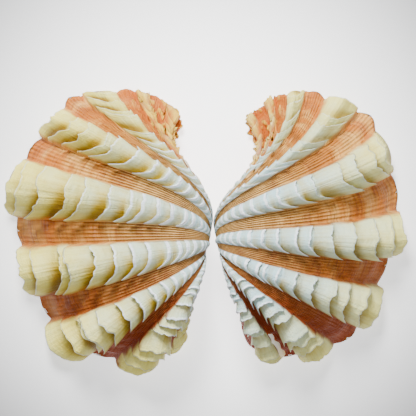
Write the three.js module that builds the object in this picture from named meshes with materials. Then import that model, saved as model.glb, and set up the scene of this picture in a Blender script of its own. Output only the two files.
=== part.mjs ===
// A giant clam shell of the elongate, close-fluted kind: its two loose valves laid side by side,
// hollow side down, with their beaks touching. Millimetres, +Z up.
//
// Each valve is one grown solid. It is modelled as a fan of growth rays that leave the beak, climb
// over the umbo and run down to the edge of the shell. A ray is a cubic Bezier curve; neighbouring
// rays are joined through closed Catmull-Rom loops, so any place round the edge has its own ray.
// Ribs swell along the rays between the furrows, and flutes stand on the ribs.
import * as THREE from "three";

// Driving dimensions
const BEAK_HEIGHT = 13; // beak above the table
const UMBO_OVERHANG = 30; // how far the rays lean back over the hinge before they turn
const UMBO_TURN = 14; // how far the umbo is turned towards the front
const NOTCH_LEAN = 0.45; // how fast that lean dies away towards the notch, and towards the hinge
const HINGE_LEAN = 1.9;
const CROWN_HEIGHT = 75; // Bezier handle that lifts the umbo
const SHOULDER_HEIGHT = 66; // Bezier handle that rounds the back of the valve
const HINGE_CROWN = 9; // the same two handles at the hinge, where the wall is low
const HINGE_SHOULDER = 4;
const LIP_THICKNESS = 4.5; // wall at the fluted edge
const BACK_THICKNESS = 9; // wall over the hollow
const HINGE_THICKNESS = 12; // wall at the hinge plate
const BED_CENTRE = 62; // the wall is measured towards this line on the table, from the beak
const BED_SPREAD = 0.7; // share of a point's own place along the shell that the line keeps
const RIB_SHARE = 0.66; // share of a crest-to-furrow step that the rib takes up
const RIB_GROWTH = 1.4; // ribs rise with this power of the distance along a ray
const FLUTE_STARTS = [0.5, 0.6, 0.69, 0.77, 0.85, 0.925]; // where the large flutes stand on each ray
const FLUTE_HEIGHT = 5.5; // the last flute; the earlier ones are lower
const BEAK_GAP = 0.3; // clear space where the two beaks meet

// The growth rays of one valve, in order round its edge from the hinge, past the rear, the belly,
// the front and the byssal notch. u is measured from the beak towards the belly and v towards the
// front. Each row: end of the ray (u, v, z), its shoulder handle (u, v), how much it belongs to the
// steep wall beside the hinge (0 to 1), and the height of the rib that it carries (0 in a furrow).
const LEFT_RAYS = [
  { end: [1, 0, 0], pull: [0, 0], wall: 1, rib: 0 }, // hinge, under the beak
  { end: [5, -20, 0], pull: [3, -13], wall: 0.9, rib: 0 },
  { end: [9, -37, 0], pull: [7, -24], wall: 0.72, rib: 0 },
  { end: [12, -54, 1], pull: [11, -35], wall: 0.5, rib: 0 },
  { end: [17, -67, 4], pull: [13, -45], wall: 0.33, rib: 3 },
  { end: [27, -76, 0], pull: [18, -53], wall: 0.16, rib: 0 },
  { end: [43, -76, 4], pull: [26, -56], wall: 0.04, rib: 9 },
  { end: [70, -76, -2], pull: [42, -58], wall: 0, rib: 0 },
  { end: [91, -62, 4], pull: [56, -51], wall: 0, rib: 10 },
  { end: [110, -42, -2], pull: [66, -38], wall: 0, rib: 0 },
  { end: [116, -13, 4], pull: [71, -15], wall: 0, rib: 11 },
  { end: [128, 11, -2], pull: [77, 9], wall: 0, rib: 0 },
  { end: [124, 43, 4], pull: [76, 33], wall: 0, rib: 12 },
  { end: [118, 70, -2], pull: [71, 48], wall: 0, rib: 0 },
  { end: [97, 83, 4], pull: [59, 67], wall: 0, rib: 11 },
  { end: [92, 104, -2], pull: [52, 67], wall: 0.03, rib: 0 },
  { end: [68, 101, 4], pull: [41, 69], wall: 0.08, rib: 7 },
  { end: [53, 110, 1], pull: [36, 66], wall: 0.18, rib: 0 },
  { end: [40, 102, 4], pull: [34, 62], wall: 0.28, rib: 4 },
  { end: [31, 105, 2], pull: [37, 60], wall: 0.37, rib: 0 },
  { end: [18, 93, 4], pull: [39, 57], wall: 0.45, rib: 3 },
  { end: [14, 85, 3], pull: [37, 53], wall: 0.54, rib: 0 },
  { end: [21, 73, 2], pull: [29, 46], wall: 0.64, rib: 0 },
  { end: [18, 58, 1], pull: [18, 36], wall: 0.75, rib: 0 },
  { end: [11, 38, 0], pull: [8, 25], wall: 0.82, rib: 0 },
  { end: [4, 18, 0], pull: [3, 12], wall: 0.9, rib: 0 },
];
const RIGHT_RAYS = [
  { end: [1, 0, 0], pull: [0, 0], wall: 1, rib: 0 },
  { end: [5, -20, 0], pull: [3, -13], wall: 0.9, rib: 0 },
  { end: [9, -38, 0], pull: [7, -25], wall: 0.72, rib: 0 },
  { end: [12, -56, 1], pull: [11, -37], wall: 0.5, rib: 0 },
  { end: [18, -69, 1], pull: [15, -46], wall: 0.3, rib: 0 },
  { end: [32, -76, 4], pull: [21, -49], wall: 0.14, rib: 6 },
  { end: [45, -76, -2], pull: [28, -46], wall: 0.04, rib: 0 },
  { end: [61, -70, 4], pull: [37, -42], wall: 0, rib: 9 },
  { end: [87, -63, -2], pull: [50, -39], wall: 0, rib: 0 },
  { end: [97, -41, 4], pull: [59, -30], wall: 0, rib: 10 },
  { end: [112, -14, -2], pull: [67, -19], wall: 0, rib: 0 },
  { end: [115, 8, 4], pull: [71, -2], wall: 0, rib: 11 },
  { end: [120, 40, -2], pull: [70, 15], wall: 0, rib: 0 },
  { end: [106, 65, 4], pull: [65, 28], wall: 0, rib: 11 },
  { end: [102, 91, -2], pull: [57, 40], wall: 0, rib: 0 },
  { end: [77, 95, 4], pull: [49, 42], wall: 0.04, rib: 10 },
  { end: [64, 108, 1], pull: [46, 44], wall: 0.1, rib: 0 },
  { end: [48, 104, 4], pull: [46, 47], wall: 0.18, rib: 6 },
  { end: [38, 106, 2], pull: [47, 50], wall: 0.26, rib: 0 },
  { end: [30, 100, 4], pull: [52, 53], wall: 0.34, rib: 4 },
  { end: [23, 96, 3], pull: [50, 54], wall: 0.42, rib: 0 },
  { end: [17, 90, 4], pull: [48, 53], wall: 0.5, rib: 3 },
  { end: [18, 80, 3], pull: [45, 48], wall: 0.58, rib: 0 },
  { end: [27, 68, 2], pull: [36, 43], wall: 0.68, rib: 0 },
  { end: [27, 53, 1], pull: [24, 34], wall: 0.78, rib: 0 },
  { end: [17, 37, 0], pull: [13, 25], wall: 0.86, rib: 0 },
  { end: [5, 18, 0], pull: [4, 11], wall: 0.95, rib: 0 },
];

// Facets
const STEPS_ON_RIB = 3; // columns between a crest and the furrow beside it
const STEPS_ON_WALL = 2; // columns between two rays of the plain wall
const PLAIN_ROWS = [0.04, 0.09, 0.15, 0.22, 0.3, 0.39]; // outer rows before the first flute
const HOLLOW_ROWS = [1, 0.88, 0.74, 0.6, 0.45, 0.3, 0.15]; // inner rows, from the edge to the beak

const mix = THREE.MathUtils.lerp;

// Handle above the beak: it leans back over the hinge for the rays of the belly, and sinks into the
// low wall for those of the hinge and the notch.
function crownOf(ray) {
  const open = 1 - ray.wall;
  return new THREE.Vector3(
    -UMBO_OVERHANG * open ** (ray.end[1] > 0 ? NOTCH_LEAN : HINGE_LEAN),
    ray.end[1] * (0.1 + 0.25 * ray.wall) + UMBO_TURN * open,
    mix(CROWN_HEIGHT, HINGE_CROWN, ray.wall),
  );
}

function loop(points) {
  return new THREE.CatmullRomCurve3(points, true, "catmullrom", 0.5);
}

// The three loops that carry the rays, and the two tables that go round with them.
function makeFan(rays) {
  const shoulders = rays.map(
    (ray) => new THREE.Vector3(...ray.pull, mix(SHOULDER_HEIGHT, HINGE_SHOULDER, ray.wall)),
  );
  return {
    rays,
    crowns: loop(rays.map(crownOf)),
    shoulders: loop(shoulders),
    ends: loop(rays.map((ray) => new THREE.Vector3(...ray.end))),
  };
}

function rayAt(fan, place) {
  const share = (((place / fan.rays.length) % 1) + 1) % 1;
  return new THREE.CubicBezierCurve3(
    new THREE.Vector3(0, 0, BEAK_HEIGHT),
    fan.crowns.getPoint(share),
    fan.shoulders.getPoint(share),
    fan.ends.getPoint(share),
  );
}

// Value of a table between two rays.
function between(fan, place, read) {
  const count = fan.rays.length;
  const before = Math.floor(place);
  return mix(
    read(fan.rays[before % count]),
    read(fan.rays[(before + 1) % count]),
    place - before,
  );
}

// Rib height at the edge of the shell, at one place: a rounded swelling beside a flat furrow.
function ribAt(fan, place) {
  const count = fan.rays.length;
  const before = Math.floor(place);
  const near = fan.rays[before % count].rib;
  const far = fan.rays[(before + 1) % count].rib;
  const fromCrest = near > 0 ? place - before : before + 1 - place;
  if (fromCrest >= RIB_SHARE) return 0;
  return Math.max(near, far) * Math.cos((Math.PI / 2) * (fromCrest / RIB_SHARE)) ** 0.9;
}

function outwards(fan, place, along) {
  const step = 1e-3;
  const onward = rayAt(fan, place).getTangent(Math.min(along, 1 - step));
  const sideways = rayAt(fan, place + step)
    .getPoint(along)
    .sub(rayAt(fan, place - step).getPoint(along));
  return onward.cross(sideways).normalize();
}

function skinPoint(fan, place, along, lift) {
  const rise = ribAt(fan, place) * along ** RIB_GROWTH;
  return rayAt(fan, place)
    .getPoint(along)
    .addScaledVector(outwards(fan, place, along), rise + lift);
}

// Rows of the outside: plain near the beak, then three rows for each flute (foot, slope, lip).
function outerRows() {
  const rows = PLAIN_ROWS.map((along) => ({ along, flute: 0 }));
  FLUTE_STARTS.forEach((start, i) => {
    const next = FLUTE_STARTS[i + 1] ?? 1;
    const height = FLUTE_HEIGHT * start;
    rows.push({ along: start, flute: 0 });
    rows.push({ along: mix(start, next, 0.55), flute: height * 0.45 });
    rows.push({ along: mix(start, next, 0.97), flute: height });
  });
  return rows;
}

function columnPlaces(fan) {
  const places = [];
  fan.rays.forEach((ray, i) => {
    const next = fan.rays[(i + 1) % fan.rays.length];
    const steps = ray.rib > 0 || next.rib > 0 ? STEPS_ON_RIB : STEPS_ON_WALL;
    for (let k = 0; k < steps; k++) places.push(i + k / steps);
  });
  return places;
}

// Point of the hollow behind a place on the outside: the skin without its flutes, drawn in towards
// the middle of the bed by the thickness of the wall.
function hollowPoint(fan, place, along) {
  const skin = along > 0 ? skinPoint(fan, place, along, 0) : new THREE.Vector3(0, 0, BEAK_HEIGHT);
  const wall = between(fan, place, (ray) => ray.wall) * along;
  const back = mix(BACK_THICKNESS, LIP_THICKNESS, THREE.MathUtils.smoothstep(along, 0.55, 1));
  const bed = new THREE.Vector3(BED_CENTRE, BED_SPREAD * skin.y, 0);
  const inwards = bed.sub(skin).normalize();
  return skin.addScaledVector(inwards, mix(back, HINGE_THICKNESS, wall ** 2));
}

// One ring of points for each row: over the outside from the beak, then back up the hollow.
function valveRings(fan) {
  const places = columnPlaces(fan);
  const rings = outerRows().map(({ along, flute }) =>
    places.map((place) => skinPoint(fan, place, along, flute * Math.min(1, ribAt(fan, place) / 6))),
  );
  rings.push(places.map((place) => skinPoint(fan, place, 1, 0)));
  for (const along of HOLLOW_ROWS) rings.push(places.map((place) => hollowPoint(fan, place, along)));
  for (const ring of rings) for (const point of ring) point.z = Math.max(point.z, 0);
  return { beak: new THREE.Vector3(0, 0, BEAK_HEIGHT), rings, cavity: hollowPoint(fan, 0, 0) };
}

// Skins the rings into one closed geometry. side is -1 for the left valve, whose belly points to -X.
function skin({ beak, rings, cavity }, side) {
  const columns = rings[0].length;
  const points = [beak, ...rings.flat(), cavity];
  const last = points.length - 1;
  const index = [];
  const face = (a, b, c) => index.push(...(side > 0 ? [a, b, c] : [a, c, b]));
  const at = (row, column) => 1 + row * columns + (column % columns);
  for (let column = 0; column < columns; column++) {
    face(0, at(0, column), at(0, column + 1));
    for (let row = 0; row + 1 < rings.length; row++) {
      face(at(row, column), at(row + 1, column), at(row + 1, column + 1));
      face(at(row, column), at(row + 1, column + 1), at(row, column + 1));
    }
    face(at(rings.length - 1, column), last, at(rings.length - 1, column + 1));
  }
  const geometry = new THREE.BufferGeometry();
  const flat = points.flatMap((point) => [side * point.x, point.y, point.z]);
  geometry.setAttribute("position", new THREE.Float32BufferAttribute(flat, 3));
  geometry.setIndex(index);
  geometry.computeVertexNormals();
  geometry.computeBoundingBox();
  return geometry;
}

function makeValve(name, rays, side, colour) {
  const material = new THREE.MeshStandardMaterial({ color: colour, roughness: 0.55, metalness: 0 });
  const valve = new THREE.Mesh(skin(valveRings(makeFan(rays)), side), material);
  valve.name = name;
  return valve;
}

// The pair: beaks almost touching, the whole centred over the origin on the table.
function makePair() {
  const left = makeValve("left_valve", LEFT_RAYS, -1, "#e6d9b0");
  const right = makeValve("right_valve", RIGHT_RAYS, 1, "#e8d3a8");
  left.position.x = -BEAK_GAP / 2 - left.geometry.boundingBox.max.x;
  right.position.x = BEAK_GAP / 2 - right.geometry.boundingBox.min.x;
  const pair = new THREE.Group().add(left, right);
  const box = new THREE.Box3().setFromObject(pair);
  const centre = box.getCenter(new THREE.Vector3());
  pair.position.set(-centre.x, -centre.y, -box.min.z);
  return pair;
}

export default makePair();
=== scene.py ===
import math

import bpy
from mathutils import Matrix, Vector


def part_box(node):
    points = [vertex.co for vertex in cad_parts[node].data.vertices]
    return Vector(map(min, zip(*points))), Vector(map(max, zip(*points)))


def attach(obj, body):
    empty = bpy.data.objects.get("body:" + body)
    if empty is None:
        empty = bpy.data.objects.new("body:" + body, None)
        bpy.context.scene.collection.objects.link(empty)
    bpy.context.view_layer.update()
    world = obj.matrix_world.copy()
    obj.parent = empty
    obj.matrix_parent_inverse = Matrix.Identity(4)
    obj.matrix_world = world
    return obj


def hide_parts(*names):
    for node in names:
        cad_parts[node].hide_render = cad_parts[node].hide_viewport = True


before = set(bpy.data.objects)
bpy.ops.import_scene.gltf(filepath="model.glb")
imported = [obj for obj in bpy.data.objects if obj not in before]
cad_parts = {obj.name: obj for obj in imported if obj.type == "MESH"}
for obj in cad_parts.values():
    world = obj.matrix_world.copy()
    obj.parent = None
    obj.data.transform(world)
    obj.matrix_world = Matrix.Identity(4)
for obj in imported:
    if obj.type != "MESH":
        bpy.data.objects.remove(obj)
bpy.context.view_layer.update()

# ---------------------------------------------------------------------------------------------
# The left valve. One half of a fluted giant clam: a single piece of aragonite that the animal laid
# down line by line at the shell's edge, so ribs, furrows and flutes all follow the growth rays that
# leave the beak. It lies hollow side down on its hinge margin and the tips of its furrows.
# ---------------------------------------------------------------------------------------------
MM = 0.001
BEAK_HEIGHT = 13 * MM

# Each growth ray is a Bezier curve from the beak over a crown and a shoulder to the edge. These
# place the crown and the shoulder, in millimetres, from a ray's place and share of hinge wall.
UMBO_OVERHANG = 30  # how far the umbo leans back over the hinge
UMBO_TURN = 13  # how far it is turned towards the front
NOTCH_LEAN = 0.45  # how fast the lean dies away towards the notch, and towards the hinge
HINGE_LEAN = 1.9
BACK_LEAN = 0.13  # extra lean on the free back
REAR_LEAN = 0.55  # lean lost at the rear end
REAR_REACH = 76  # how far back the rearmost rays end
CROWN_SPREAD = 0.26  # share of a ray's sideways reach that its crown has, and more on the wall
WALL_SPREAD = 0.09
CROWN_HEIGHT = 70  # height of the two handles over the free back
SHOULDER_HEIGHT = 61
HINGE_CROWN = 9  # and at the hinge
HINGE_SHOULDER = 4

COLUMNS = 468  # places round the edge of the shell
FLUTES = 25  # growth steps between the beak and the edge
CLIMB_ROWS = 4  # rows up the outside of a flute, and back under its free edge
UNDER_ROWS = 3
ROWS_PER_FLUTE = CLIMB_ROWS + UNDER_ROWS
HOLLOW_ROWS = 22

# The growth rays, in order round the edge from the hinge past the rear, the belly, the front and
# the byssal notch. Each row: end u, v, z; shoulder u, v; share of the steep hinge wall; rib height;
# flute height; growth phase. Millimetres, u from the beak to the belly, v towards the front.
LEFT_RAYS = (
    (1, 0, 0, 0, 0, 1, 0, 0, 0),
    (5, -20, 0, 3, -13, 0.9, 0, 0, 0),
    (9, -37, 0, 7, -24, 0.72, 0, 0, 0),
    (12, -54, 1, 11, -35, 0.5, 0, 0, 0),
    (17, -67, 4, 13, -45, 0.33, 3, 4, 0.2),
    (27, -76, 0, 18, -53, 0.16, 0, 0, 0),
    (43, -76, 4, 26, -56, 0.04, 9, 10, 0),
    (70, -76, -2, 42, -58, 0, 0, 0, 0),
    (91, -62, 4, 56, -51, 0, 10, 11, 0.4),
    (110, -42, -2, 66, -38, 0, 0, 0, 0),
    (116, -13, 4, 71, -15, 0, 11, 12, -0.2),
    (128, 11, -2, 77, 9, 0, 0, 0, 0),
    (124, 43, 4, 76, 33, 0, 12, 12, 0.1),
    (118, 70, -2, 71, 48, 0, 0, 0, 0),
    (97, 83, 4, 59, 67, 0, 11, 10, -0.3),
    (92, 104, -2, 52, 67, 0.03, 0, 0, 0),
    (68, 103, 4, 41, 69, 0.08, 7, 5, 0.3),
    (53, 110, 1, 36, 66, 0.18, 0, 0, 0),
    (40, 105, 4, 34, 62, 0.28, 4, 3, 0),
    (31, 105, 2, 37, 60, 0.37, 0, 0, 0),
    (18, 93, 4, 39, 57, 0.45, 3, 3, 0.3),
    (14, 85, 3, 37, 53, 0.54, 0, 0, 0),
    (21, 73, 2, 29, 46, 0.64, 0, 0, 0),
    (18, 58, 1, 18, 36, 0.75, 0, 0, 0),
    (11, 38, 0, 8, 25, 0.82, 0, 0, 0),
    (4, 18, 0, 3, 12, 0.9, 0, 0, 0),
)


def paint(text):
    """Linear RGBA of a hex colour."""
    parts = [int(text[i : i + 2], 16) / 255 for i in (1, 3, 5)]
    return tuple(c / 12.92 if c < 0.04045 else ((c + 0.055) / 1.055) ** 2.4 for c in parts) + (1.0,)


class Field:
    """A value on its way through a node tree. Arithmetic on it adds the nodes that compute it."""

    def __init__(self, tree, socket):
        self.tree = tree
        self.socket = socket

    @property
    def is_vector(self):
        return self.socket.type in {"VECTOR", "RGBA"}

    def node(self, kind, inputs, out=0, **settings):
        return grow(self.tree, kind, inputs, out, **settings)

    def math(self, operation, *others):
        return self.node("ShaderNodeMath", (self, *others), operation=operation)

    def vector(self, operation, *others, out=0):
        return self.node("ShaderNodeVectorMath", (self, *others), out, operation=operation)

    def both(self, operation, other, swap=False):
        wide = self.is_vector or (isinstance(other, Field) and other.is_vector) or isinstance(other, tuple)
        pair = (other, self) if swap else (self, other)
        kind = "ShaderNodeVectorMath" if wide else "ShaderNodeMath"
        return self.node(kind, pair, operation=operation)

    def __add__(self, other):
        return self.both("ADD", other)

    __radd__ = __add__

    def __sub__(self, other):
        return self.both("SUBTRACT", other)

    def __rsub__(self, other):
        return self.both("SUBTRACT", other, swap=True)

    def __mul__(self, other):
        if self.is_vector and not (isinstance(other, Field) and other.is_vector):
            return self.node("ShaderNodeVectorMath", {0: self, 3: other}, operation="SCALE")
        if isinstance(other, Field) and other.is_vector and not self.is_vector:
            return other * self
        return self.both("MULTIPLY", other)

    def __truediv__(self, other):
        return self.both("DIVIDE", other)

    def __pow__(self, power):
        return self.math("POWER", power)

    def __mod__(self, other):
        return self.math("FLOORED_MODULO", other)

    def floor(self):
        return self.math("FLOOR")

    def cos(self):
        return self.math("COSINE")

    def sin(self):
        return self.math("SINE")

    def above(self, other):
        return self.math("GREATER_THAN", other)

    def most(self, other):
        return self.math("MINIMUM", other)

    def least(self, other):
        return self.math("MAXIMUM", other)

    def ease(self, low, high, start=0.0, end=1.0):
        """Smooth step from start at low to end at high."""
        inputs = (self, low, high, start, end)
        return self.node("ShaderNodeMapRange", inputs, interpolation_type="SMOOTHSTEP")

    def ramp(self, low, high, start=0.0, end=1.0):
        """Straight ramp from start at low to end at high."""
        return self.node("ShaderNodeMapRange", (self, low, high, start, end))

    def to(self, other, share):
        """Mix of this value and another."""
        return self + (other - self) * share

    def unit(self):
        return self.vector("NORMALIZE")

    def cross(self, other):
        return self.vector("CROSS_PRODUCT", other)

    def part(self, axis):
        return self.node("ShaderNodeSeparateXYZ", (self,), axis)


def grow(tree, kind, inputs=(), out=0, **settings):
    """Adds a node, sets it up, feeds its inputs and returns one of its outputs."""
    node = tree.nodes.new(kind)
    for name, value in settings.items():
        setattr(node, name, value)
    places = inputs.items() if isinstance(inputs, dict) else enumerate(inputs)
    for place, value in places:
        socket = node.inputs[place]
        if isinstance(value, Field):
            tree.links.new(value.socket, socket)
        elif value is not None:
            socket.default_value = value
    return Field(tree, node.outputs[out])


def join(tree, x, y, z):
    return grow(tree, "ShaderNodeCombineXYZ", (x, y, z))


def noise(vector, scale, detail=3.0):
    return vector.node("ShaderNodeTexNoise", {"Vector": vector, "Scale": scale, "Detail": detail})


def store(geometry, name, value, kind="FLOAT"):
    inputs = {"Geometry": geometry, "Name": name, "Value": value}
    return grow(geometry.tree, "GeometryNodeStoreNamedAttribute", inputs, data_type=kind, domain="POINT")


def named(tree, name, kind="FLOAT"):
    return grow(tree, "GeometryNodeInputNamedAttribute", {"Name": name}, data_type=kind)


def pick(geometry, name, index, kind="FLOAT"):
    """An attribute of another geometry's point."""
    value = named(geometry.tree, name, kind)
    inputs = {"Geometry": geometry, "Value": value, "Index": index}
    return grow(geometry.tree, "GeometryNodeSampleIndex", inputs, data_type=kind, domain="POINT")


def catmull(points, f):
    """Catmull-Rom blend of four neighbours, at share f between the middle two."""
    a, b, c, d = points
    square = f * f
    cube = square * f
    return (
        b
        + (c - a) * (f * 0.5)
        + (a * 2.0 - b * 5.0 + c * 4.0 - d) * (square * 0.5)
        + (b * 3.0 - a - c * 3.0 + d) * (cube * 0.5)
    )


VALVE_INPUTS = (  # name, socket type, value
    ("Beak height", "NodeSocketFloat", BEAK_HEIGHT),
    ("Rib share", "NodeSocketFloat", 0.62),
    ("Rib growth", "NodeSocketFloat", 1.4),
    ("Flute crowding", "NodeSocketFloat", 1.9),
    ("Flute size", "NodeSocketFloat", 1.0),
    ("Edge thickness", "NodeSocketFloat", 1.1 * MM),
    ("Lip thickness", "NodeSocketFloat", 4.5 * MM),
    ("Back thickness", "NodeSocketFloat", 9 * MM),
    ("Hinge thickness", "NodeSocketFloat", 12 * MM),
    ("Bed centre", "NodeSocketFloat", 62 * MM),
    ("Side", "NodeSocketFloat", 1.0),
    ("Seed", "NodeSocketInt", 0),
    ("Shell", "NodeSocketMaterial", None),
)
BROAD_RIB = 7.5 * MM  # front ribs lower than this grow narrower and knobbly, fully so at the next
SMALL_RIB = 5 * MM
SMALL_RIB_LOSS = 0.25  # share of its width that a small front rib lacks
FURROW_OFF = 2.0  # how far off a rib's middle a bare stretch counts as, in half widths


def edge_columns(rays, rib_share):
    """One point for each place round the edge, with everything that its growth ray needs."""
    tree = rays.tree
    index = grow(tree, "GeometryNodeInputIndex")
    count = grow(tree, "GeometryNodeAttributeDomainSize", (rays,))
    place = index * (count / COLUMNS)
    before = place.floor()
    f = place - before
    spots = [(before + k) % count for k in (-1, 0, 1, 2)]
    near, far = spots[1], spots[2]
    near_rib, far_rib = pick(rays, "rib", near), pick(rays, "rib", far)
    height = near_rib.least(far_rib)
    on_near = near_rib.above(far_rib)
    ribbed = (near_rib + far_rib).above(0.0)
    in_front = pick(rays, "end", near, "FLOAT_VECTOR").part(1).above(0.0)
    small = height.ramp(BROAD_RIB, SMALL_RIB) * in_front
    off = (1.0 - f).to(f, on_near) / (rib_share * (1.0 - small * SMALL_RIB_LOSS))

    line = grow(tree, "GeometryNodeMeshLine", {"Count": COLUMNS})
    for name in ("end", "crown", "shoulder"):
        handle = catmull([pick(rays, name, spot, "FLOAT_VECTOR") for spot in spots], f)
        line = store(line, name, handle, "FLOAT_VECTOR")
    facts = {
        "front": small,
        "off": off.to(FURROW_OFF, 1.0 - ribbed),
        "turn": on_near * 2.0 - 1.0,
        "height": height,
        "flute": pick(rays, "flute", near).least(pick(rays, "flute", far)),
        "phase": pick(rays, "phase", far).to(pick(rays, "phase", near), on_near),
        "rib_number": far.to(near, on_near),
        "wall": pick(rays, "wall", near).to(pick(rays, "wall", far), f),
        "place": place,
    }
    for name, value in facts.items():
        line = store(line, name, value)
    return line


FLUTE_SIDES = (0.92, 1.08)  # where a flute dies out at the side of its rib, in half widths
CLIMB_CURVE = 1.9  # how quickly a flute climbs from its root
UNDER_CURVE = 0.6  # and turns back under its free edge
FRONT_BOW = 0.3  # how far the ends of a free edge sweep outward, on its two sides
REAR_BOW = 1.3
EDGE_BACK = 0.3  # how far the middle of a free edge hangs back, in growth steps
EDGE_WANDER = 0.4  # unevenness of a free edge, in growth steps
EDGE_CHANCE = 0.6  # and from one flute to the next
FRILL = (0.05, 0.3)  # fine fraying of the free edge, by the beak and at the rim
WANDER_STRETCH = (1.3, 3.7, 5.1)  # how fast the unevenness changes across a rib, flute by flute,
WANDER_SCALE = 1.6  # and rib by rib, and how fast in all


def folded_rows(at, step, given):
    """The flutes: how far along its ray each row of the outside lies, and how it is folded."""
    flute = step.floor()
    x = step - flute
    off, number = at("off"), at("rib_number")
    across = off * at("turn")
    draw = {2: 0.0, 3: 1.0, 7: number * 100.0 + flute, 8: given["Seed"]}
    chance = step.node("FunctionNodeRandomValue", draw, 1)
    widths = zip((across, flute, number), WANDER_STRETCH)
    sideways, outward, round_edge = (value * stretch for value, stretch in widths)
    spot = join(step.tree, sideways, outward, round_edge + given["Seed"])
    wander = noise(spot, WANDER_SCALE) - 0.5
    frill = noise(spot * 5.0, WANDER_SCALE, 1.0) - 0.5
    phase = at("phase") * (step / FLUTES * math.pi).sin().least(0.0) ** 0.5

    def growth(steps):
        return ((steps + phase) / FLUTES).least(0.0) ** given["Flute crowding"]

    root, next_root = growth(flute), growth(flute + 1.0)
    rearward = across.ramp(0.3, -0.3)
    ragged = wander * EDGE_WANDER + frill * root.ease(0.4, 0.9, *FRILL)
    bow = off**3.0 * rearward.ramp(0.0, 1.0, FRONT_BOW, REAR_BOW) - EDGE_BACK + ragged
    bow = bow + (chance - 0.5) * EDGE_CHANCE
    edge = (next_root + (next_root - root) * bow).most(1.0)
    climb = 1.0 - (1.0 - (x * (ROWS_PER_FLUTE / CLIMB_ROWS)).most(1.0)) ** CLIMB_CURVE
    under = ((1.0 - x) * (ROWS_PER_FLUTE / UNDER_ROWS)).most(1.0) ** UNDER_CURVE
    turned = x.above((CLIMB_ROWS + 0.5) / ROWS_PER_FLUTE)
    folded = root.to(edge, climb).to(next_root.to(edge, under), turned)
    fold = off.ease(*FLUTE_SIDES, 1.0, 0.0)
    return {
        "growth": growth(step).to(folded, fold),
        "steps": step + phase,
        "off": off,
        "across": across,
        "rearward": rearward,
        "fold": fold,
        "turned": turned,
        "raised": climb.to(under, turned),
        "chance": chance,
        "wander": wander,
    }


def bezier_ray(at, beak, t, shift=0.0):
    """The base surface at share t of a column's ray, and its slope along the ray."""
    crown, shoulder, end = (at(name, "FLOAT_VECTOR", shift) for name in ("crown", "shoulder", "end"))
    back = 1.0 - t
    point = (
        beak * (back * back * back)
        + crown * (back * back * t * 3.0)
        + shoulder * (back * t * t * 3.0)
        + end * (t * t * t)
    )
    slope = (crown - beak) * (back * back) + (shoulder - crown) * (back * t * 2.0)
    return point, slope + (end - shoulder) * (t * t)


RIB_ROUNDNESS = 0.9
FLUTE_RISE = (0.18, 0.98)  # the stretch of a ray over which flutes grow to full height
FLUTE_BASE = 0.66  # shares of a rib's flute height: the same for all its flutes,
FLUTE_CHANCE = 0.5  # different for each flute,
FLUTE_UNEVEN = 0.9  # and uneven along each one
RIM_STRETCH = (0.9, 1.0)  # the last stretch of a ray, and the height that its flutes keep there
RIM_KEPT = (1.0, 0.6)
SIDE_LOSS = 0.2  # height that a flute loses at its sides
SIDE_CURL = 0.3  # how far the rear side of a flute curls outward
RIDGE_HEIGHT = 1.1 * MM  # growth ridges across the furrows
BEAD_HEIGHT = 2.6 * MM  # knobs on the small front ribs
BED_SPREAD = 0.7  # share of a point's own place along the shell that the bed line keeps


def outside_skin(given, at, step, row, t, point, outward, side):
    """Lifts ribs, flutes, growth ridges and knobs off the base surface."""
    off, fold, wander = row["off"].most(1.0), row["fold"], row["wander"]
    lively = FLUTE_BASE + row["chance"] * FLUTE_CHANCE + wander * FLUTE_UNEVEN
    size = at("flute") * given["Flute size"] * t.ease(*FLUTE_RISE) * lively
    size = size * t.ease(*RIM_STRETCH, *RIM_KEPT)
    reach = size * fold * (1.0 - off**3.0 * SIDE_LOSS)
    lift = reach * row["raised"] ** 1.25 - row["turned"] * given["Edge thickness"] * row["raised"]
    curl = row["rearward"].ramp(0.0, 1.0, 0.0, SIDE_CURL)
    spread = row["across"] * row["off"].most(1.1) * size * row["raised"] * fold * curl
    swell = (step * (2 * math.pi)).cos() * 0.6 + wander * 2.0
    beads = noise(join(step.tree, at("place") * 2.4, step * 1.7, given["Seed"]), 1.0, 1.0)
    beads = beads.ease(0.51, 0.66) * (at("front") * t)
    ridge = swell * (1.0 - fold) * t * RIDGE_HEIGHT + beads * BEAD_HEIGHT
    return point + outward * (lift.least(0.0) + ridge) + side * spread, beads


def hollow_skin(given, at, t, skin):
    """The hollow: the ribbed skin without its flutes, drawn in towards the middle of the bed."""
    bed = join(skin.tree, given["Bed centre"], skin.part(1) * BED_SPREAD, 0.0)
    wall = at("wall") * t
    thick = given["Back thickness"].to(given["Lip thickness"], t.ease(0.55, 1.0))
    thick = thick.to(given["Hinge thickness"], wall * wall)
    return skin + (bed - skin).unit() * thick


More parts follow.
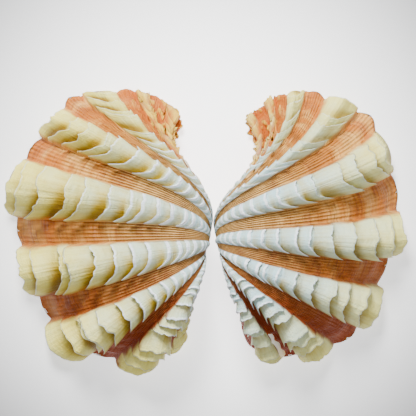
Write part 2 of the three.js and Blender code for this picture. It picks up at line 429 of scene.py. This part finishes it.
def valve_tree():
    """A closed ball of rings: ring 0 lies at the beak, the rings run over the outside, turn round
    the lip and come back up the hollow."""
    tree = bpy.data.node_groups.new("valve_growth", "GeometryNodeTree")
    tree.interface.new_socket("Geometry", in_out="INPUT", socket_type="NodeSocketGeometry")
    tree.interface.new_socket("Geometry", in_out="OUTPUT", socket_type="NodeSocketGeometry")
    for name, kind, value in VALVE_INPUTS:
        socket = tree.interface.new_socket(name, in_out="INPUT", socket_type=kind)
        if value is not None:
            socket.default_value = value
    entry = tree.nodes.new("NodeGroupInput")
    given = {socket.name: Field(tree, socket) for socket in entry.outputs if socket.name}
    line = edge_columns(given["Geometry"], given["Rib share"])

    outer = FLUTES * ROWS_PER_FLUTE
    rings = {"Segments": COLUMNS, "Rings": outer + HOLLOW_ROWS + 1}
    ball = grow(tree, "GeometryNodeMeshUVSphere", rings)
    index = grow(tree, "GeometryNodeInputIndex")
    ring = ((index - 1.0) / COLUMNS).floor() + 1.0
    column = (index - 1.0) % COLUMNS
    inside = ring.above(outer + 0.5)
    step = (ring / ROWS_PER_FLUTE).most(FLUTES)

    def at(name, kind="FLOAT", shift=0.0):
        return pick(line, name, (column + shift) % COLUMNS, kind)

    row = folded_rows(at, step, given)
    inner_t = 1.0 - ((ring - (outer + 1)) / HOLLOW_ROWS).least(0.0).most(1.0)
    t = row["growth"].to(inner_t, inside)

    beak = join(tree, 0.0, 0.0, given["Beak height"])
    point, slope = bezier_ray(at, beak, t)
    ahead, behind = (bezier_ray(at, beak, t, shift)[0] for shift in (1.0, -1.0))
    along = (slope + (0.0, 0.0, 1e-7)).unit()
    side = (ahead - behind + (0.0, 1e-9, 0.0)).unit()
    outward = along.cross(side).unit()

    hill = (row["off"].most(1.0) * (math.pi / 2)).cos().least(0.0) ** RIB_ROUNDNESS
    skin = point + outward * (at("height") * hill * t ** given["Rib growth"])
    outside, beads = outside_skin(given, at, step, row, t, skin, outward, side)
    final = outside.to(hollow_skin(given, at, t, skin), inside)
    final = join(tree, final.part(0) * given["Side"], final.part(1), final.part(2).least(0.0))

    shell = grow(tree, "GeometryNodeSetPosition", {"Geometry": ball, "Position": final})
    looks = {
        "growth": t,
        "steps": row["steps"],
        "off": row["off"].most(1.6),
        "lean": row["across"] * row["fold"],
        "place": at("place"),
        "edge": row["raised"] * row["fold"] * (1.0 - inside),
        "hollow": inside,
        "beads": beads,
    }
    for name, value in looks.items():
        shell = store(shell, name, value)
    flipped = grow(tree, "GeometryNodeFlipFaces", {"Mesh": shell})
    turned_out = grow(
        tree,
        "GeometryNodeSwitch",
        {"Switch": given["Side"].above(0.0), "False": flipped, "True": shell},
        input_type="GEOMETRY",
    )
    smooth = grow(tree, "GeometryNodeSetShadeSmooth", (turned_out,))
    real = grow(tree, "GeometryNodeRealizeInstances", (smooth,))
    done = grow(tree, "GeometryNodeSetMaterial", {"Geometry": real, "Material": given["Shell"]})
    leave = tree.nodes.new("NodeGroupOutput")
    tree.links.new(done.socket, leave.inputs[0])
    return tree


growth_tree = valve_tree()


def blend(low, high, share):
    """Mix of two colours, each a hex colour or a field."""
    low, high = (paint(c) if isinstance(c, str) else c for c in (low, high))
    return share.node("ShaderNodeMix", {0: share, 6: low, 7: high}, 2, data_type="RGBA")


RIBLETS = 8  # fine riblets to each growth ray
CLOUD_SCALE = 60.0
GRAIN_SCALE = 900.0
BUMP_DEPTH = 1.4 * MM
SHELL_FINISH = {
    "Roughness": 0.48,
    "Specular IOR Level": 0.25,
    "Subsurface Weight": 0.1,
    "Subsurface Radius": (1.0, 0.7, 0.3),
    "Subsurface Scale": 3 * MM,
}
BEAK_WHITE = "#b4d4d8"
RIB_CREAM = "#e6dc74"
# Yellow: the shell's own patchy yellow, and painted shade in the roots and down the rear sides of the
# flutes. Olive: painted shade there alone.
YELLOW_TONE_AND_SHADE = "#ae9200"
OLIVE_SHADE = "#7c5c00"
EDGE_WHITE = "#f4fbff"
FURROW_GOLD = "#ba8232"
FURROW_ORANGE = "#bd6a1c"
PALE_BAND = "#e2aa58"
DARK_BAND = "#8a4a18"
# Painted shade in the gaps between the riblets, and painted highlight on their crests.
RIBLET_GAP_SHADE = "#5f3a1a"
RIBLET_CREST_HIGHLIGHT = "#ecc682"
GROWTH_LINE = "#82421a"
HINGE_RED = "#7a1e00"
STAIN_ORANGE = "#bb5a10"
KNOB_YELLOW = "#e6bc40"
PORCELAIN = "#f7f3ea"
INNER_RIM = "#f0dcae"


def shell_looks(tree, seed):
    """What the surface knows of its own growth, and the noises that follow the growth."""
    names = ("off", "growth", "edge", "place", "steps", "lean", "beads", "hollow")
    look = {name: grow(tree, "ShaderNodeAttribute", (), 2, attribute_name=name) for name in names}
    place, steps = look["place"], look["steps"]
    spot = grow(tree, "ShaderNodeTexCoord", (), 3)
    look["cloud"] = noise(spot + (float(seed), 0.0, 0.0), CLOUD_SCALE) - 0.5
    look["grain"] = noise(spot, GRAIN_SCALE) - 0.5
    look["bands"] = noise(join(tree, place * 0.5, steps, seed * 3.0), 1.1, 4.0) - 0.5
    look["striae"] = noise(join(tree, place * 1.5, steps * 8.0, 0.0), 1.0, 2.0) - 0.5
    look["streaks"] = noise(join(tree, place * 16.0, steps * 0.6, seed * 2.0), 1.0) - 0.5
    look["riblet"] = (place * (2 * math.pi * RIBLETS)).cos() * 0.5 + 0.5
    return look


def rib_colour(look, pallor):
    """Bluish white by the beak, cream further out, yellow in patches, a white line along each free
    edge; the yellow and olive in the roots of the flutes and down their rear sides is painted shade."""
    growth, edge, cloud, streaks = (look[name] for name in ("growth", "edge", "cloud", "streaks"))
    # Painted shade: the rear side of each flute is darker, and so is its root under the free edge above.
    shade = look["lean"].ramp(0.45, -0.8)
    root = 1.0 - edge.ease(0.0, 0.95)
    yellow = (root * 0.75 + 0.25) * (shade * 0.8 + 0.2) * growth.ease(0.0, 0.8) * (1.0 - pallor)
    olive_shade = (shade * root * growth.ease(0.2, 0.9)).ease(0.12, 0.62) * (1.0 - pallor)
    creamy = growth.ease(0.2 + pallor * 0.6, 1.0 + pallor * 0.3) + cloud * 0.5
    rib = blend(BEAK_WHITE, RIB_CREAM, creamy)
    # The yellow share is partly painted shade (in the roots and down the rear sides) and partly the
    # shell's own patchy tone (cloud, streaks).
    rib = blend(rib, YELLOW_TONE_AND_SHADE, yellow * 1.4 + root * 0.25 - 0.1 + cloud * 0.9 + streaks * 0.7)
    # Painted shade: olive, deepest where the root of a flute meets its rear side.
    rib = blend(rib, OLIVE_SHADE, olive_shade)
    return blend(rib, EDGE_WHITE, (edge - growth.ease(0.2, 0.8, 0.5, 0.94)) * 8.0)


def furrow_colour(look, rear):
    """Golden by the beak, orange at the edge, red-brown towards the hinge. Riblets run along the furrow,
    with painted highlight on their crests and painted shade in the gaps between them; growth bands and
    finer growth lines run across."""
    growth, bands, striae, riblet = (look[name] for name in ("growth", "bands", "striae", "riblet"))
    redder = look["place"].ramp(rear + 4.5, rear - 1.0)
    # Painted highlight along the riblet crests, and painted shade in the gaps between them.
    crest_highlight = (riblet * growth.ease(1.0, 0.3, 0.3, 1.0)).ease(0.3, 1.0)
    gap_shade = (1.0 - riblet).ease(0.5, 1.0) * growth.ease(0.9, 0.35, 0.15, 0.85)
    orange = blend(FURROW_GOLD, FURROW_ORANGE, growth.ease(0.4, 1.0) + look["cloud"] * 0.8)
    orange = blend(orange, PALE_BAND, bands.ease(0.02, -0.18) * (1.0 - redder * 0.8) * 0.85)
    orange = blend(orange, DARK_BAND, bands.ease(0.02, 0.2) * 0.7)
    orange = blend(orange, RIBLET_GAP_SHADE, gap_shade)
    orange = blend(orange, RIBLET_CREST_HIGHLIGHT, crest_highlight * (1.0 - redder * 0.7) * (striae + 0.7))
    orange = blend(orange, GROWTH_LINE, striae.ease(0.0, 0.2) * growth.ease(0.2, 0.8, 0.2, 0.5))
    return blend(orange, HINGE_RED, redder * (growth.ease(0.05, 0.7) * 0.65 + 0.25))


def front_stain(look, front, colour):
    """The small front ribs are stained orange between yellow knobs."""
    place = look["place"]
    stain = place.ease(front - 0.6, front + 0.8) * place.ramp(front + 7.0, front + 5.0)
    crest = look["beads"] + (1.0 - look["off"]).least(0.0) * 0.6 + look["edge"] * 0.3
    knobs = blend(STAIN_ORANGE, KNOB_YELLOW, crest.ease(0.25, 0.9) * (look["bands"] * 1.5 + 0.9))
    return blend(colour, knobs, stain * (look["cloud"] + 0.8) * look["growth"].ease(0.25, 0.6))


def shell_relief(look, furrow):
    """Height of the fine relief: riblets and bands in the furrows, streaks down the ribs, growth
    lines and grain over both, and none in the hollow."""
    growth, bands, striae = look["growth"], look["bands"], look["striae"]
    ridges = look["riblet"] * furrow * growth.ease(1.0, 0.4, 0.4, 0.9) + bands * furrow * 1.5
    ridges = ridges + striae + look["grain"] * 0.4 + look["streaks"] * (1.0 - furrow) * 0.8
    return ridges * (1.0 - look["hollow"])


def shell_material(name, rear, front, pallor, seed):
    """Cream ribs, orange furrows, white flute edges and a porcelain hollow, all along the rays.
    rear and front are the rays where the red hinge side ends and the small front ribs begin."""
    material = bpy.data.materials.new(name)
    material.use_nodes = True
    tree = material.node_tree
    shader = tree.nodes["Principled BSDF"]
    look = shell_looks(tree, seed)
    furrow = (look["off"] + look["cloud"] * 0.35 + look["streaks"] * 0.15).ease(0.82, 1.04)
    colour = blend(rib_colour(look, pallor), furrow_colour(look, rear), furrow)
    colour = front_stain(look, front, colour)
    inner = blend(PORCELAIN, INNER_RIM, look["growth"].ease(0.86, 1.0))
    colour = blend(colour, inner, look["hollow"])
    relief = {"Height": shell_relief(look, furrow), "Strength": 0.8, "Distance": BUMP_DEPTH}
    bump = grow(tree, "ShaderNodeBump", relief)
    tree.links.new(colour.socket, shader.inputs["Base Color"])
    tree.links.new(bump.socket, shader.inputs["Normal"])
    for label, value in SHELL_FINISH.items():
        shader.inputs[label].default_value = value
    return material


def ray_handles(v, pull_u, pull_v, wall):
    """Crown and shoulder of one ray, in millimetres."""
    bare = 1 - wall
    lean = bare ** (NOTCH_LEAN if v > 0 else HINGE_LEAN)
    lean *= 1 + BACK_LEAN * bare**2 + REAR_LEAN * min(v, 0) / REAR_REACH
    across = v * (CROWN_SPREAD + WALL_SPREAD * wall) + UMBO_TURN * bare
    rise = CROWN_HEIGHT + (HINGE_CROWN - CROWN_HEIGHT) * wall
    shoulder = SHOULDER_HEIGHT + (HINGE_SHOULDER - SHOULDER_HEIGHT) * wall
    return Vector((-UMBO_OVERHANG * lean, across, rise)), Vector((pull_u, pull_v, shoulder))


def ray_host(name, rays):
    """A bare mesh with one point for each growth ray, which carries the ray's figures."""
    names = ("end", "crown", "shoulder", "wall", "rib", "flute", "phase")
    table = {label: [] for label in names}
    for u, v, z, pull_u, pull_v, wall, rib, flute, phase in rays:
        crown, shoulder = ray_handles(v, pull_u, pull_v, wall)
        end = Vector((u, v, z))
        figures = (end * MM, crown * MM, shoulder * MM, wall, rib * MM, flute * MM, phase)
        for label, figure in zip(names, figures):
            table[label].append(figure)
    mesh = bpy.data.meshes.new(name + "_rays")
    mesh.from_pydata(table["end"], [], [])
    for label, figures in table.items():
        wide = isinstance(figures[0], Vector)
        layer = mesh.attributes.new(label, "FLOAT_VECTOR" if wide else "FLOAT", "POINT")
        flat = [c for figure in figures for c in figure] if wide else figures
        layer.data.foreach_set("vector" if wide else "value", flat)
    host = bpy.data.objects.new(name + "_host", mesh)
    bpy.context.scene.collection.objects.link(host)
    return host


def valve(name, rays, beak, material, side, rib_share, seed):
    """Grows one valve from its table of rays and returns it as a plain mesh."""
    host = ray_host(name, rays)
    modifier = host.modifiers.new("growth", "NODES")
    modifier.node_group = growth_tree
    sockets = [item for item in growth_tree.interface.items_tree if item.in_out == "INPUT"]
    identifiers = {item.name: item.identifier for item in sockets}
    values = {label: value for label, _, value in VALVE_INPUTS}
    values["Rib share"] = rib_share
    values["Side"] = side
    values["Seed"] = seed
    values["Shell"] = material
    for label, value in values.items():
        modifier[identifiers[label]] = value
    graph = bpy.context.evaluated_depsgraph_get()
    grown = bpy.data.meshes.new_from_object(host.evaluated_get(graph))
    host.modifiers.remove(modifier)
    bpy.data.objects.remove(host)
    grown.name = name
    grown.transform(Matrix.Translation(beak))
    piece = bpy.data.objects.new(name, grown)
    bpy.context.scene.collection.objects.link(piece)
    return piece


LEFT_BEAK_INSET = 8.816 * MM  # the beak, in from the edge that faces the other valve
LEFT_BEAK_FORWARD = 89.155 * MM  # and forward of the rear end
left_low, left_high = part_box("left_valve")
left_beak = Vector((left_high.x - LEFT_BEAK_INSET, left_low.y + LEFT_BEAK_FORWARD, 0))
left_surface = shell_material("left_shell_surface", rear=7.5, front=17.0, pallor=0.0, seed=1)
left_shell = valve(
    "left_valve_shell", LEFT_RAYS, left_beak, left_surface, side=-1.0, rib_share=0.63, seed=3
)
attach(left_shell, "root")
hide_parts("left_valve")

# ---------------------------------------------------------------------------------------------
# The right valve. The other half of the same shell, grown and lying in the same way, with its
# beak against the left one. It is a little shorter, its notch is deeper and its flutes are lower.
# ---------------------------------------------------------------------------------------------
RIGHT_RAYS = (
    (1, 0, 0, 0, 0, 1, 0, 0, 0),
    (5, -20, 0, 3, -13, 0.9, 0, 0, 0),
    (9, -38, 0, 7, -25, 0.72, 0, 0, 0),
    (12, -56, 1, 11, -37, 0.5, 0, 0, 0),
    (18, -69, 1, 15, -46, 0.3, 0, 0, 0),
    (32, -76, 4, 21, -49, 0.14, 6, 7, 0.1),
    (45, -76, -2, 28, -46, 0.04, 0, 0, 0),
    (61, -70, 4, 37, -42, 0, 9, 9, 0.3),
    (87, -63, -2, 50, -39, 0, 0, 0, 0),
    (97, -41, 4, 59, -30, 0, 10, 8, -0.2),
    (112, -14, -2, 67, -19, 0, 0, 0, 0),
    (115, 8, 4, 71, -2, 0, 11, 9, 0.2),
    (120, 40, -2, 70, 15, 0, 0, 0, 0),
    (106, 65, 4, 65, 28, 0, 11, 8, -0.1),
    (102, 91, -2, 57, 40, 0, 0, 0, 0),
    (77, 95, 4, 49, 42, 0.04, 10, 6, 0.35),
    (64, 108, 1, 46, 44, 0.1, 0, 0, 0),
    (48, 105, 4, 46, 47, 0.18, 6, 4, 0),
    (38, 106, 2, 47, 50, 0.26, 0, 0, 0),
    (30, 100, 4, 52, 53, 0.34, 4, 3, 0.2),
    (23, 96, 3, 50, 54, 0.42, 0, 0, 0),
    (17, 90, 4, 48, 53, 0.5, 3, 3, 0),
    (18, 80, 3, 45, 48, 0.58, 0, 0, 0),
    (27, 68, 2, 36, 43, 0.68, 0, 0, 0),
    (27, 53, 1, 24, 34, 0.78, 0, 0, 0),
    (17, 37, 0, 13, 25, 0.86, 0, 0, 0),
    (5, 18, 0, 4, 11, 0.95, 0, 0, 0),
)
RIGHT_BEAK_INSET = 8.209 * MM
RIGHT_BEAK_FORWARD = 85.674 * MM
right_low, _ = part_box("right_valve")
right_beak = Vector((right_low.x + RIGHT_BEAK_INSET, right_low.y + RIGHT_BEAK_FORWARD, 0))
right_surface = shell_material("right_shell_surface", rear=8.0, front=18.0, pallor=0.42, seed=4)
right_shell = valve(
    "right_valve_shell", RIGHT_RAYS, right_beak, right_surface, side=1.0, rib_share=0.57, seed=8
)
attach(right_shell, "root")
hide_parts("right_valve")

# ---------------------------------------------------------------------------------------------
# The table: a plain pale sheet that the shell lies on. Its middle is white with a painted glow, an
# emitting pool of light though it is no lamp; further out it is painted grey as a vignette shade.
# It is not part of the object.
# ---------------------------------------------------------------------------------------------
SHEET_REACH = 3
POOL_CENTRE = (0.0, 0.02, 0.0)
SHEET_WHITE = "#ffffff"
# The grey of the painted vignette shade towards the edges of the sheet.
SHEET_VIGNETTE_GREY = "#7c7c7e"
UNLIT = "#000000"
GLOW = 2.5
corners = [(x * SHEET_REACH, y * SHEET_REACH, 0) for x, y in ((-1, -1), (1, -1), (1, 1), (-1, 1))]
floor_mesh = bpy.data.meshes.new("floor")
floor_mesh.from_pydata(corners, [], [(0, 1, 2, 3)])
floor = bpy.data.objects.new("floor", floor_mesh)
bpy.context.scene.collection.objects.link(floor)
pale = bpy.data.materials.new("pale_sheet")
pale.use_nodes = True
sheet = pale.node_tree.nodes["Principled BSDF"]
away = (grow(pale.node_tree, "ShaderNodeTexCoord", (), 3) - POOL_CENTRE).vector("LENGTH", out=1)
# Painted shade: the sheet darkens from white to grey away from the middle.
vignette_shade = blend(SHEET_WHITE, SHEET_VIGNETTE_GREY, away.ease(0.08, 0.26))
# Painted light: a glowing pool in the middle of the sheet, which is no lamp.
glow = blend(SHEET_WHITE, UNLIT, away.ease(0.0, 0.24))
pale.node_tree.links.new(vignette_shade.socket, sheet.inputs["Base Color"])
pale.node_tree.links.new(glow.socket, sheet.inputs["Emission Color"])
sheet.inputs["Emission Strength"].default_value = GLOW
sheet.inputs["Roughness"].default_value = 0.9
floor_mesh.materials.append(pale)

# Soft studio light: a panel beyond the front ends of the valves, a much weaker one beyond the
# rear ends, and even light from all round.
STUDIO_WHITE = (0.95, 0.97, 1.0, 1.0)
STUDIO_STRENGTH = 0.62
world = bpy.data.worlds.new("studio")
world.use_nodes = True
backdrop = world.node_tree.nodes["Background"]
backdrop.inputs["Color"].default_value = STUDIO_WHITE
backdrop.inputs["Strength"].default_value = STUDIO_STRENGTH
bpy.context.scene.world = world


def panel(name, where, size, power):
    """A square light panel that faces the middle of the table."""
    light = bpy.data.lights.new(name, "AREA")
    light.shape = "SQUARE"
    light.size = size
    light.energy = power
    lamp = bpy.data.objects.new(name, light)
    lamp.location = where
    lamp.rotation_euler = (-Vector(where)).to_track_quat("-Z", "Y").to_euler()
    bpy.context.scene.collection.objects.link(lamp)


panel("key", where=(-0.15, 0.75, 0.75), size=0.35, power=29)
panel("fill", where=(0.2, -0.6, 1.0), size=0.8, power=3)

# The camera looks straight down on the pair.
LENS = 135
SENSOR = 36
FIELD_WIDTH = 0.2912
VIEW_CENTRE = (0.00105, 0.0163)
camera_data = bpy.data.cameras.new("camera")
camera_data.lens = LENS
camera_data.sensor_width = SENSOR
camera = bpy.data.objects.new("camera", camera_data)
camera.location = (*VIEW_CENTRE, FIELD_WIDTH * LENS / SENSOR)
bpy.context.scene.collection.objects.link(camera)
bpy.context.scene.camera = camera
